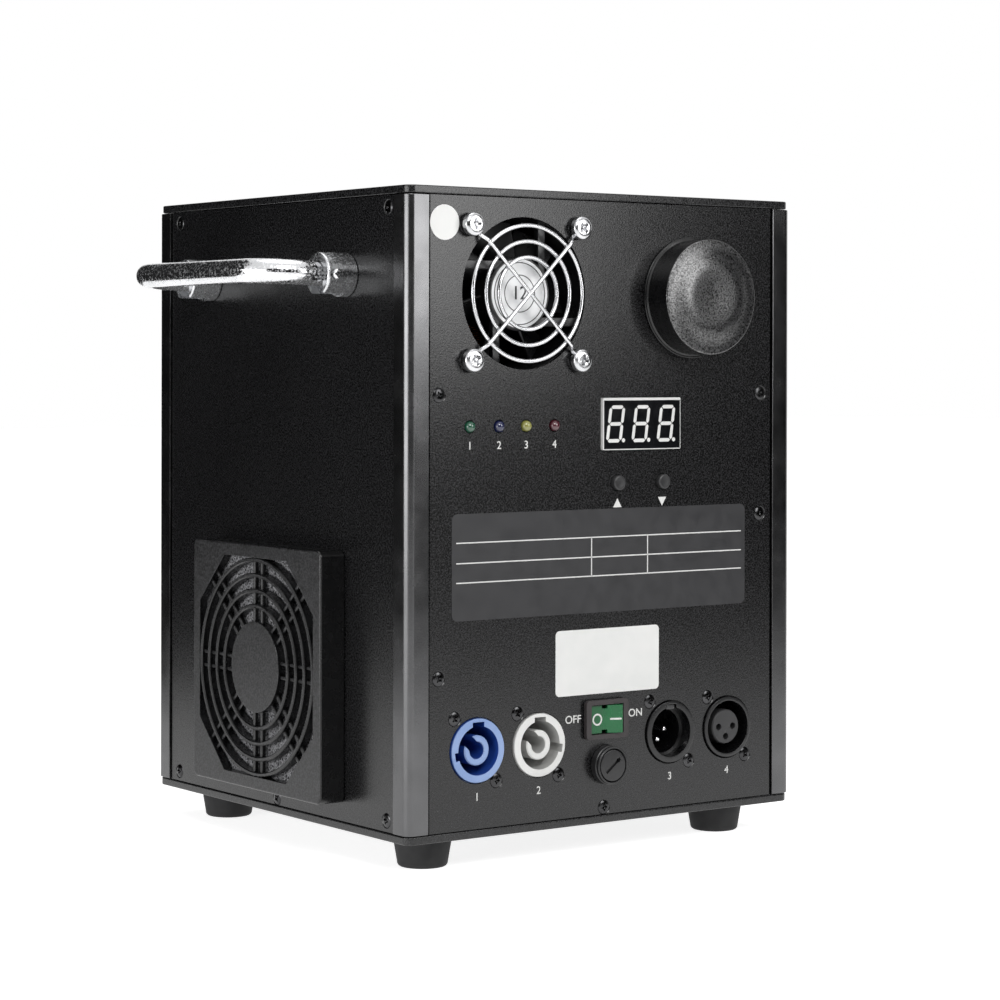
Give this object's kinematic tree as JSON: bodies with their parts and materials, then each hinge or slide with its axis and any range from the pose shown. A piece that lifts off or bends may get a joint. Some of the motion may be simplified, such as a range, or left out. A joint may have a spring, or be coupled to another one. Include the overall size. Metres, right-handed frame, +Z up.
{
  "type": "cold spark machine",
  "caption": "Square black stage spark fountain with a round nozzle in its top, a control panel with fan, filler cap and sockets, a side air filter and folding chrome handles.",
  "frame": {"origin": "centre of the bounding box on the floor, at the undersides of the feet", "axes": "+Z up; -Y out of the control panel; +X to the right as one faces the control panel; the filter is on the -X side"},
  "size_m": [0.2632, 0.1992, 0.252],
  "materials": {
    "case_paint": "fine textured powder coat",
    "plate_paint": "satin black",
    "post_metal": "black anodised, satin",
    "foot_rubber": "matte",
    "chrome": "polished",
    "guard_wire": "bright plated",
    "fan_plastic": "moulded black",
    "filter_plastic": "satin moulded black",
    "filter_pad": "open foam, speckled grey",
    "cap_plastic": "fine textured black",
    "display_face": "glossy black",
    "button_plastic": "satin black",
    "lamp_green": "clear tinted",
    "lamp_blue": "clear tinted",
    "lamp_yellow": "clear tinted",
    "lamp_red": "clear tinted",
    "board_green": "solder mask",
    "switch_plastic": "glossy black",
    "rocker_green": "translucent green",
    "fuse_plastic": "glossy black",
    "fuse_glass": "brass ends",
    "socket_blue": "satin blue",
    "socket_white": "satin white",
    "socket_black": "satin black",
    "inner_steel": "plain",
    "coil_copper": "varnished copper",
    "nozzle_metal": "turned",
    "supply_metal": "plain"
  },
  "bodies": {
    "case": {"base_plate": "plate_paint", "top_plate": "plate_paint", "control_left_post": "post_metal", "control_right_post": "post_metal", "front_left_post": "post_metal", "front_right_post": "post_metal", "control_panel": "case_paint", "front_panel": "case_paint", "left_side_panel": "case_paint", "right_side_panel": "case_paint", "control_left_foot": "foot_rubber", "control_right_foot": "foot_rubber", "front_left_foot": "foot_rubber", "front_right_foot": "foot_rubber", "left_handle_seat_a": "chrome", "left_handle_seat_b": "chrome", "right_handle_seat_a": "chrome", "right_handle_seat_b": "chrome", "left_handle_pin_a": "chrome", "left_handle_pin_b": "chrome", "right_handle_pin_a": "chrome", "right_handle_pin_b": "chrome", "intake_fan_frame": "fan_plastic", "filter_frame": "filter_plastic", "exhaust_fan_frame": "fan_plastic", "finger_guard": "guard_wire", "display_module": "display_face", "ready_lamp": "lamp_green", "link_lamp": "lamp_blue", "fault_lamp": "lamp_yellow", "heat_lamp": "lamp_red", "control_board": "board_green", "rocker_housing": "switch_plastic", "fuse_holder": "fuse_plastic", "power_in_socket": "socket_blue", "power_out_socket": "socket_white", "data_in_socket": "socket_black", "data_out_socket": "socket_black", "hopper": "inner_steel", "feed_motor": "inner_steel", "heating_chamber": "inner_steel", "induction_coil": "coil_copper", "impeller_motor": "inner_steel", "chamber_stand": "inner_steel", "nozzle_ring": "nozzle_metal", "power_supply": "supply_metal"},
    "left_handle": {"left_handle_bail": "chrome"},
    "right_handle": {"right_handle_bail": "chrome"},
    "filler_cap": {"filler_cap": "cap_plastic"},
    "up_button": {"up_button": "button_plastic"},
    "down_button": {"down_button": "button_plastic"},
    "rocker": {"rocker": "rocker_green"},
    "fuse_link": {"fuse_link": "fuse_glass"},
    "fuse_cap": {"fuse_cap": "fuse_plastic"},
    "exhaust_fan_rotor": {"exhaust_fan_rotor": "fan_plastic"},
    "intake_fan_rotor": {"intake_fan_rotor": "fan_plastic"},
    "filter_cover": {"filter_cover": "filter_plastic", "filter_foam": "filter_pad"},
    "feed_auger": {"feed_auger": "inner_steel"},
    "spark_impeller": {"spark_impeller": "inner_steel"}
  },
  "joints": [
    {"name": "left_handle_fold", "type": "hinge", "parent": "case", "child": "left_handle", "pos_m": [-0.1006, 0.0071, 0.22008], "axis": [0, -1, 0], "range_deg": [0, 92.5]},
    {"name": "right_handle_fold", "type": "hinge", "parent": "case", "child": "right_handle", "pos_m": [0.1006, 0.0071, 0.22008], "axis": [0, 1, 0], "range_deg": [0, 92.5]},
    {"name": "filler_cap_pull", "type": "slide", "parent": "case", "child": "filler_cap", "axis": [0, -1, 0], "range_m": [0, 0.04]},
    {"name": "up_button_press", "type": "slide", "parent": "case", "child": "up_button", "axis": [0, 1, 0], "range_m": [0, 0.0006], "stiffness_N_per_m": 1500, "springref_m": -0.0008},
    {"name": "down_button_press", "type": "slide", "parent": "case", "child": "down_button", "axis": [0, 1, 0], "range_m": [0, 0.0006], "stiffness_N_per_m": 1500, "springref_m": -0.0008},
    {"name": "power_rocker", "type": "hinge", "parent": "case", "child": "rocker", "pos_m": [-0.00041, -0.0816, 0.05165], "axis": [0, 0, 1], "range_deg": [0, 24]},
    {"name": "fuse_pull", "type": "slide", "parent": "case", "child": "fuse_link", "axis": [0, -1, 0], "range_m": [0, 0.035]},
    {"name": "fuse_cap_turn", "type": "hinge", "parent": "fuse_link", "child": "fuse_cap", "pos_m": [-0.00041, -0.0846, 0.0342], "axis": [0, -1, 0], "range_deg": [0, 45]},
    {"name": "exhaust_fan_spin", "type": "hinge", "parent": "case", "child": "exhaust_fan_rotor", "pos_m": [-0.0395, -0.07, 0.21319], "axis": [0, 1, 0], "continuous": true},
    {"name": "intake_fan_spin", "type": "hinge", "parent": "case", "child": "intake_fan_rotor", "pos_m": [-0.078, 0.0049, 0.0696], "axis": [1, 0, 0], "continuous": true},
    {"name": "filter_cover_pull", "type": "slide", "parent": "case", "child": "filter_cover", "axis": [-1, 0, 0], "range_m": [0, 0.02]},
    {"name": "feed_auger_spin", "type": "hinge", "parent": "case", "child": "feed_auger", "pos_m": [0.045, 0.0171, 0.13192], "axis": [1, 0, 0], "continuous": true},
    {"name": "impeller_spin", "type": "hinge", "parent": "case", "child": "spark_impeller", "pos_m": [0, 0.0071, 0.10992], "axis": [1, 0, 0], "continuous": true}
  ]
}
